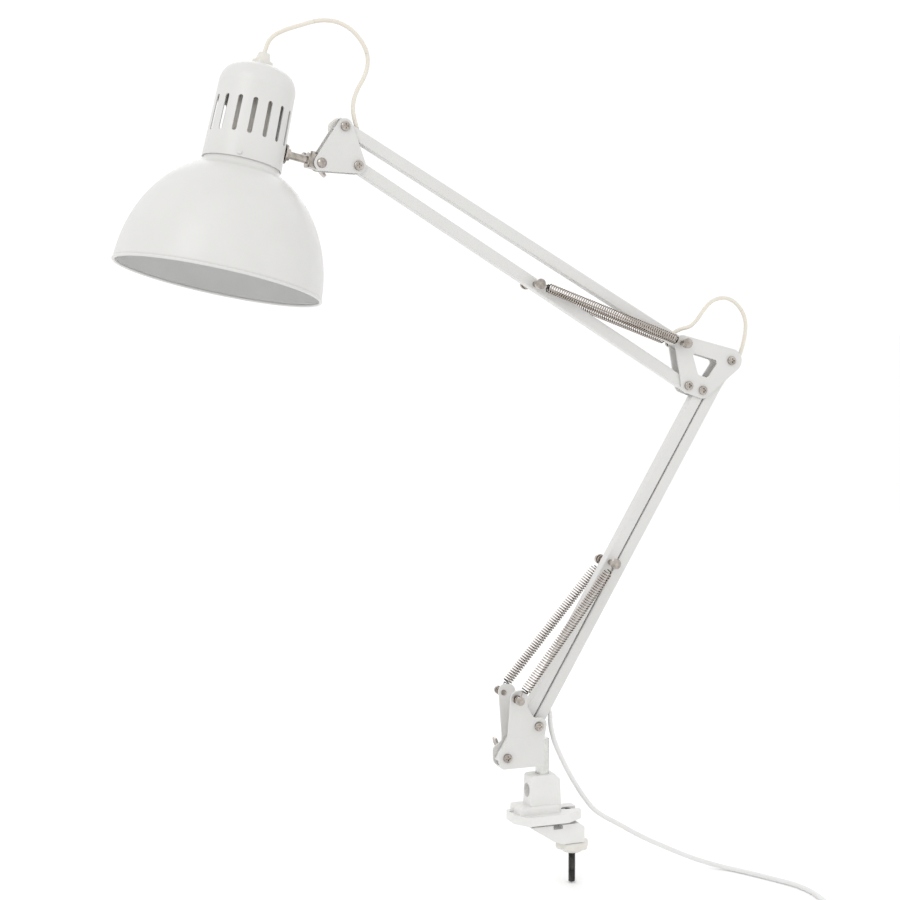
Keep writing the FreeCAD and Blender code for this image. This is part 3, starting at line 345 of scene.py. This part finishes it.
def floor():
    corners = [(x * FLOOR_HALF, y * FLOOR_HALF, FLOOR_Z) for x, y in ((-1, -1), (1, -1), (1, 1), (-1, 1))]
    mesh = bpy.data.meshes.new("floor")
    mesh.from_pydata(corners, [], [(0, 1, 2, 3)])
    plain = Shader("floor", Roughness=0.9)
    tone = plain.ramp(plain.noise(3, 2), 0.3, 0.7, (0.955, 0.955, 0.955), (0.965, 0.965, 0.965))
    plain.colour(tone)
    mesh.materials.append(plain.material)
    sheet = bpy.data.objects.new("floor", mesh)
    bpy.context.scene.collection.objects.link(sheet)


# ---- Places taken from the frame ----------------------------------------------------------------
def joint_place(name):
    return Vector(JOINTS[name]["pos_m"])


def middle(node):
    low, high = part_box(node)
    return (Vector(low) + Vector(high)) / 2


LOWER_SPRING_ROOT = joint_place("lower_spring_swing")
UPPER_SPRING_ROOT = joint_place("upper_arm_tilt")
KNUCKLE_PIVOT = joint_place("head_tilt")
LOWER_PIN = middle("lower_spring_pin")
UPPER_PIN = middle("upper_spring_pin")
SHADE_TILT = math.radians(13.25)
SHADE_LEAN = math.radians(-3.56)
SHADE_FRAME = (
    Matrix.Translation(KNUCKLE_PIVOT)
    @ Matrix.Rotation(SHADE_TILT, 4, "Y")
    @ Matrix.Rotation(SHADE_LEAN, 4, "X")
)
SHADE_AXIS_X = -63.5 * MM
RIM_Z = -115 * MM
RIM_PLACE = SHADE_FRAME @ Matrix.Translation((SHADE_AXIS_X, 0, RIM_Z))

# ---- Springs ------------------------------------------------------------------------------------
WIRE = 0.48 * MM
SPRING_RADIUS = 4.0 * MM
HOOK_LENGTH = 8.0 * MM
HOOK_RADIUS = 3.4 * MM
HOOK_GAP = math.radians(42)
HOOK_STEPS = 30
TAIL_STEPS = 8
WIRE_SIDES = 8
END_TURN_SHARE = 0.45
END_TURNS = 1.2
STEPS_PER_TURN = 14
LOWER_TURNS = 56
UPPER_TURNS = 62
LOWER_ROOT_Y = 21.4 * MM
LOWER_TIP_Y = 13 * MM
UPPER_SPRING_Y = 12.5 * MM


def smooth_step(t):
    return t * t * (3 - 2 * t)


def spring(name, root, tip, turns, bodies, nodes):
    """Wound wire from hook to hook; the coils stretch between the two bodies."""
    axis = (tip - root).normalized()
    flat = Vector((0, 1, 0))
    side = (flat - axis * flat.dot(axis)).normalized()
    up = axis.cross(side)
    start, end = root + axis * HOOK_LENGTH, tip - axis * HOOK_LENGTH
    steps = turns * STEPS_PER_TURN
    line = []
    for step in range(steps + 1):
        angle = math.tau * step / STEPS_PER_TURN
        ends = min(step, steps - step) / (STEPS_PER_TURN * END_TURNS)
        radius = SPRING_RADIUS * (END_TURN_SHARE + (1 - END_TURN_SHARE) * min(1.0, ends))
        outward = side * math.sin(angle) + up * math.cos(angle)
        line.append(start.lerp(end, step / steps) + outward * radius)
    coil = tube(name + "_coil", line, WIRE, "spring_wire", WIRE_SIDES)
    # Painted shade: faces on the inner side of the coil take the near-black second material, standing in for
    # the shade inside the coil.
    coil.data.materials.append(MATERIALS["spring_inside"])
    for polygon in coil.data.polygons:
        reach = polygon.center - root
        if (reach - axis * reach.dot(axis)).length < SPRING_RADIUS:
            polygon.material_index = 1
    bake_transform(coil)
    hooks = (
        ("root", root, axis, up, bodies[0], nodes[0]),
        ("end", tip, -axis, -up, bodies[1], nodes[1]),
    )
    for word, centre, inward, lift, body, node in hooks:
        ring = hook_line(centre, inward, lift)
        hook = tube(f"{name}_{word}_hook", ring, WIRE, "spring_wire", WIRE_SIDES)
        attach(hook, body)
        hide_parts(node)
    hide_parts(nodes[0])


def hook_line(centre, inward, up):
    """Open loop round the pin that runs into the first turn of the coil."""
    line = []
    for step in range(HOOK_STEPS + 1):
        angle = HOOK_GAP + (math.tau - HOOK_GAP) * step / HOOK_STEPS
        line.append(centre + (inward * math.cos(angle) + up * math.sin(angle)) * HOOK_RADIUS)
    tail = centre + inward * HOOK_LENGTH + up * SPRING_RADIUS * END_TURN_SHARE
    bend = line[-1]
    for step in range(1, TAIL_STEPS + 1):
        line.append(bend.lerp(tail, smooth_step(step / TAIL_STEPS)))
    return line


def springs():
    for side, word in ((-1, "near"), (1, "far")):
        spring(
            f"lower_spring_{word}",
            Vector((LOWER_SPRING_ROOT.x, side * LOWER_ROOT_Y, LOWER_SPRING_ROOT.z)),
            Vector((LOWER_PIN.x, side * LOWER_TIP_Y, LOWER_PIN.z)),
            LOWER_TURNS,
            ("lower_spring_body", "lower_spring_end"),
            ("lower_springs", "lower_spring_end_hooks"),
        )
        spring(
            f"upper_spring_{word}",
            Vector((UPPER_SPRING_ROOT.x, side * UPPER_SPRING_Y, UPPER_SPRING_ROOT.z)),
            Vector((UPPER_PIN.x, side * UPPER_SPRING_Y, UPPER_PIN.z)),
            UPPER_TURNS,
            ("upper_spring_body", "upper_spring_end"),
            ("upper_springs", "upper_spring_end_hooks"),
        )


# ---- Threaded hook rod and knob -------------------------------------------------------------------
ROD_X = 29.2 * MM
ROD_RADIUS = 3.2 * MM
ROD_TIP = -59.2 * MM
ROD_BEND = 6.2 * MM
ROD_LEG_Z = 5.2 * MM
ROD_LEG_X = (12.5 * MM, 18 * MM)
ROD_SIDES = 24
BEND_STEPS = 12
THREAD_PITCH = 1.0 * MM
THREAD_DEPTH = 0.55 * MM
STEPS_PER_PITCH = 6
KNOB_RADIUS = 15.4 * MM
KNOB_STEPS = 120
KNOB_LOBES = 6
LOBE_DEPTH = 0.17


def hook_rod():
    """Bent rod with a rolled thread on its straight part."""
    line = [Vector((x, 0, ROD_LEG_Z)) for x in ROD_LEG_X]
    centre = Vector((ROD_X - ROD_BEND, 0, ROD_LEG_Z - ROD_BEND))
    for step in range(BEND_STEPS + 1):
        angle = math.radians(90 * step / BEND_STEPS)
        line.append(centre + Vector((math.sin(angle), 0, math.cos(angle))) * ROD_BEND)
    plain = len(line)
    height = line[-1].z
    while height > ROD_TIP + 0.2 * MM:
        height -= THREAD_PITCH / STEPS_PER_PITCH
        line.append(Vector((ROD_X, 0, height)))

    def radius(step, angle):
        if step < plain:
            return ROD_RADIUS
        turn = ((step - plain) / STEPS_PER_PITCH + angle / math.tau) % 1.0
        ridge = abs(2 * turn - 1)
        taper = min(1.0, (len(line) - 1 - step) / 8 + 0.75)
        return (ROD_RADIUS - THREAD_DEPTH * (1 - ridge)) * taper

    rod = tube("hook_rod_threaded", line, radius, "black_steel", ROD_SIDES)
    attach(rod, "clamp")
    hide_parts("clamp_hook_rod")


def lobed_knob():
    """Hand knob with soft lobes, rounded rims and a conical hub."""
    low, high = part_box("clamp_knob")
    bottom, top = low[2], high[2]
    # height, depth of the lobes there, share of the outer radius
    outline = [
        (top, 0.0, 0.30), (top, 0.75, 0.86), (top - 0.7 * MM, 0.75, 0.96),
        (top - 2.2 * MM, 1.0, 1.0), (bottom + 5.2 * MM, 1.0, 1.0), (bottom + 3.7 * MM, 0.75, 0.96),
        (bottom + 3.0 * MM, 0.1, 0.80), (bottom + 2.6 * MM, 0.0, 0.66), (bottom + 0.8 * MM, 0.0, 0.58),
        (bottom, 0.0, 0.50), (bottom, 0.0, 0.30),
    ]
    vertices = []
    for index in range(KNOB_STEPS):
        angle = math.tau * index / KNOB_STEPS
        wave = 0.5 + 0.5 * math.cos(KNOB_LOBES * angle)
        hollow = LOBE_DEPTH * (1 - wave ** 0.7)
        for height, depth, share in outline:
            radius = KNOB_RADIUS * share * (1 - hollow * depth)
            vertices.append(Vector((ROD_X + radius * math.cos(angle), radius * math.sin(angle), height)))
    faces = turned_faces(KNOB_STEPS, len(outline))
    knob = mesh_object("clamp_knob_lobed", vertices, faces, "white_plastic")
    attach(knob, "knob")
    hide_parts("clamp_knob")


# ---- Shade ------------------------------------------------------------------------------------------
SHEET = 1.0 * MM
RIM_RADIUS = 85 * MM
BOWL_HEIGHT = 103 * MM
NECK_RADIUS = 31.4 * MM
NECK_HEIGHT = 97 * MM
NECK_TUCK = 7 * MM
BOWL_DROP = 2 * MM
BOWL_START = math.radians(1.5)
BOWL_SWEEP = math.radians(60.5)
BOWL_STEPS = 44
NECK_STEPS = 8
LATHE_STEPS = 160
BEAD_RADIUS = 1.25 * MM
BEAD_Z = 0.6 * MM
BEAD_STEPS = 20


def bowl_profile(offset):
    """Bell curve of the bowl from the rim to the neck."""
    points = []
    for step in range(BOWL_STEPS + 1):
        angle = BOWL_START + BOWL_SWEEP * step / BOWL_STEPS
        points.append(((RIM_RADIUS - offset) * math.cos(angle),
                       -BOWL_DROP + (BOWL_HEIGHT - offset) * math.sin(angle)))
    radius, height = points[-1]
    neck = NECK_RADIUS - offset
    for step in range(1, NECK_STEPS + 1):
        share = step / NECK_STEPS
        points.append((radius + (neck - radius) * (1 - (1 - share) ** 1.6),
                       height + (NECK_HEIGHT - height) * share ** 1.25))
    points.append((neck, NECK_HEIGHT + NECK_TUCK))
    return points


def shade_bowl():
    outer = bowl_profile(0.0)
    inner = bowl_profile(SHEET)
    shell = outer + list(reversed(inner))
    bowl = lathe("shade_bowl_spun", shell, RIM_PLACE, "white_steel", LATHE_STEPS)
    # Painted shade: the inner faces of the bowl take the darker second material.
    bowl.data.materials.append(MATERIALS["shade_inside"])
    ring = len(shell)
    for index, polygon in enumerate(bowl.data.polygons):
        if len(outer) <= index % ring < ring - 1:
            polygon.material_index = 1
    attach(bowl, "shade")
    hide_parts("shade_bowl")
    bead = []
    for step in range(BEAD_STEPS):
        angle = math.tau * step / BEAD_STEPS
        bead.append((RIM_RADIUS - SHEET / 2 + BEAD_RADIUS * math.cos(angle),
                     BEAD_Z + BEAD_RADIUS * math.sin(angle)))
    lip = lathe("shade_rim_bead", bead, RIM_PLACE, "white_steel", LATHE_STEPS)
    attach(lip, "shade")


# ---- Cords --------------------------------------------------------------------------------------------
LOOP_CORD = 3.5 * MM
MAINS_CORD = 4.2 * MM
CORD_SIDES = 12
GLAND_START = (-246.87, 4.41, 652.93)
HEAD_LOOP = [
    GLAND_START,
    (-244.1, 5.2, 664.6), (-238.4, 4.7, 671.6), (-229.4, 4.0, 676.4), (-217.1, 3.2, 680.5),
    (-204.9, 2.4, 684.6), (-194.3, 1.6, 686.1), (-183.2, 1.0, 684.7), (-172.4, 0.4, 679.0),
    (-164.3, 0.0, 670.0), (-159.6, 0.0, 660.6), (-159.2, 0.0, 650.5), (-162.7, 0.0, 640.3),
    (-168.7, 0.0, 630.8), (-172.3, 0.0, 620.3), (-172.4, 0.0, 609.3), (-168.6, 0.0, 598.0),
]
HEAD_SPLIT = (5, 10)  # points where the loop passes from one piece to the next
ELBOW_LOOP = [
    (124.5, 0.0, 428.5), (131.1, 0.0, 432.4), (142.1, 0.0, 434.2), (149.0, 0.0, 440.3),
    (156.0, 0.0, 450.1), (163.0, 0.0, 457.3), (174.1, 0.0, 460.9), (185.3, 0.0, 458.2),
    (194.7, 0.0, 449.2), (198.9, 0.0, 438.4), (198.1, 0.0, 426.7), (195.2, 0.0, 415.0),
    (191.0, 0.0, 404.0), (184.2, 0.0, 395.2), (176.4, 0.0, 385.6), (170.4, 0.0, 377.6),
]
ELBOW_SPLIT = 8
MAINS_LEAD = [
    (2.5, 0.0, 104.5), (7.6, 0.0, 96.6), (7.3, 0.0, 86.8), (10.3, 0.0, 72.1),
    (17.1, 0.0, 56.2), (26.9, 0.0, 37.3), (37.8, 0.0, 20.0), (48.7, 0.0, 5.3),
    (59.6, 0.0, -3.1), (73.5, 0.0, -10.9), (96.7, 0.0, -25.3), (122.1, -0.5, -38.1),
    (147.8, -3.0, -50.2), (170.8, -12.0, -57.6), (187.5, -38.0, -57.9),
    (199.0, -62.0, -57.9), (209.5, -83.0, -57.9), (212.5, -108.0, -57.9),
    (207.5, -136.0, -57.9), (198.0, -163.0, -57.9), (193.0, -187.0, -57.9), (192.6, -207.0, -57.9),
]
PLUG_LEAD = [
    (148.0, -246.6, -55.6), (134.0, -246.2, -57.3), (120.0, -243.0, -57.9),
    (105.0, -239.0, -56.5), (91.0, -236.0, -53.8), (77.0, -235.0, -53.2),
]
COIL_CENTRE = (165.0, -219.0)
COIL_TURNS = [(27.2, -57.9), (23.0, -57.9), (18.8, -57.9), (18.8, -53.7), (23.0, -53.7), (27.2, -53.7)]
COIL_POINTS = 14


def in_metres(points):
    return [Vector(point) * MM for point in points]


def split_route(line, place):
    """Cut a sampled line where it passes nearest to a place."""
    cut = min(range(len(line)), key=lambda index: (line[index] - place).length)
    return line[:cut + 1], line[cut:]


def cord_piece(name, line, diameter, slot, bodies, nodes):
    cord = tube(name, line, diameter / 2, slot, CORD_SIDES)
    if len(bodies) == 1:
        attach(cord, bodies[0])
    else:
        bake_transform(cord)
    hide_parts(*nodes)


def head_cords():
    route = in_metres(HEAD_LOOP)
    line = curve_points("head_route", route, 10)
    upper, rest = split_route(line, route[HEAD_SPLIT[0]])
    centre, lower = split_route(rest, route[HEAD_SPLIT[1]])
    cord_piece("head_cord_loop_upper", list(reversed(upper)), LOOP_CORD, "cream_cord",
               ("knuckle", "shade"), ["head_cord_upper"])
    cord_piece("head_cord_loop_middle", centre, LOOP_CORD, "cream_cord",
               ("knuckle", "head"), ["head_cord_middle"])
    cord_piece("head_cord_loop_lower", list(reversed(lower)), LOOP_CORD, "cream_cord",
               ("upper_top", "head"), ["head_cord_lower"])


def elbow_cords():
    route = in_metres(ELBOW_LOOP)
    line = curve_points("elbow_route", route, 10)
    upper, lower = split_route(line, route[ELBOW_SPLIT])
    cord_piece("elbow_cord_loop_upper", upper, LOOP_CORD, "cream_cord",
               ("upper_top", "elbow"), ["elbow_cord_upper"])
    cord_piece("elbow_cord_loop_lower", list(reversed(lower)), LOOP_CORD, "cream_cord",
               ("lower_rear", "elbow"), ["elbow_cord_lower"])


def coil_points():
    """Neat turns, wound inward on the floor and outward again on top."""
    total = len(COIL_TURNS) * COIL_POINTS + COIL_POINTS // 4
    points = []
    for step in range(total + 1):
        turn = min(step / COIL_POINTS, len(COIL_TURNS) - 1)
        low = int(turn)
        high = min(low + 1, len(COIL_TURNS) - 1)
        share = turn - low
        radius = COIL_TURNS[low][0] * (1 - share) + COIL_TURNS[high][0] * share
        height = COIL_TURNS[low][1] * (1 - share) + COIL_TURNS[high][1] * share
        angle = -math.tau * step / COIL_POINTS
        points.append((COIL_CENTRE[0] + radius * math.cos(angle),
                       COIL_CENTRE[1] + radius * math.sin(angle), height))
    return points


PLUG_SECTIONS = [
    (0.0, 3.2, 3.2), (1.0, 3.4, 3.4), (23.0, 4.8, 4.6), (25.0, 8.5, 5.6), (27.0, 11.6, 6.4),
    (30.0, 12.8, 6.8), (39.0, 12.8, 6.8), (41.2, 12.2, 6.4), (42.0, 10.8, 5.4),
]  # place along the plug, half width, half height
ROUND_UP_TO = 5
ROUND_POWER = 1.0
BODY_POWER = 2 / 3.4
PLUG_SIDES = 40
PLUG_FACE = 42 * MM
PIN_Y = 9.5 * MM
PIN_SIDES = 24
PIN_PROFILE = [(2.0, 0), (2.0, 17.2), (1.4, 18.6), (0.5, 19.0), (0.02, 19.0), (0.02, 0)]


def plug():
    """Moulded two-pin plug: rounded body, tapered strain relief, round pins."""
    end = Vector(PLUG_LEAD[-1]) * MM
    direction = end - Vector(PLUG_LEAD[-2]) * MM
    place = Matrix.Translation(end) @ Matrix.Rotation(math.atan2(direction.y, direction.x), 4, "Z")
    vertices = []
    for along, wide, high in PLUG_SECTIONS:
        power = ROUND_POWER if wide < ROUND_UP_TO else BODY_POWER
        for index in range(PLUG_SIDES):
            angle = math.tau * index / PLUG_SIDES
            c, s = math.cos(angle), math.sin(angle)
            y = wide * math.copysign(abs(c) ** power, c)
            z = high * math.copysign(abs(s) ** power, s)
            vertices.append(place @ Vector((along * MM, y * MM, z * MM)))
    faces = skin_faces(len(PLUG_SECTIONS), PLUG_SIDES)
    body = mesh_object("mains_plug_body", vertices, faces, "white_cord")
    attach(body, "yoke")
    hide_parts("mains_plug")
    pins = []
    for side, word in ((-1, "left"), (1, "right")):
        foot = Matrix.Translation((PLUG_FACE, side * PIN_Y, 0))
        profile = [(radius * MM, height * MM) for radius, height in PIN_PROFILE]
        pin = lathe(f"plug_pin_{word}", profile, place @ foot @ Matrix.Rotation(math.pi / 2, 4, "Y"),
                    "nickel", PIN_SIDES)
        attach(pin, "yoke")
        pins.append(pin)
    return [body] + pins


def mains_cord():
    route = in_metres(MAINS_LEAD + coil_points() + PLUG_LEAD)
    line = curve_points("mains_route", route, 8)
    pieces = plug()
    cord_piece("mains_cord_lead", line, MAINS_CORD, "white_cord", ("lower_rear", "yoke"),
               ["mains_cord", "mains_cord_coil"])


# ---- Finish on the CAD nodes ----------------------------------------------------------------------------
CAST_EDGE = 0.5 * MM
SHEET_EDGE = 0.25 * MM
CAST_NODES = ("clamp_block", "clamp_jaw")
SHEET_NODES = ("yoke_bracket", "elbow_near_plate", "elbow_far_plate", "head_near_plate", "head_far_plate")


def dress_nodes():
    slots = {part["node"]: part["material_slot"] for part in frame["record"]["subparts"]}
    for name, node in NODES.items():
        node.data.materials.clear()
        node.data.materials.append(MATERIALS[slots[name]])
    for name in CAST_NODES:
        soften(NODES[name], CAST_EDGE, 35)
    for name in SHEET_NODES:
        soften(NODES[name], SHEET_EDGE, 50)


def main():
    camera()
    studio()
    floor()
    dress_nodes()
    springs()
    hook_rod()
    lobed_knob()
    shade_bowl()
    head_cords()
    elbow_cords()
    mains_cord()


main()
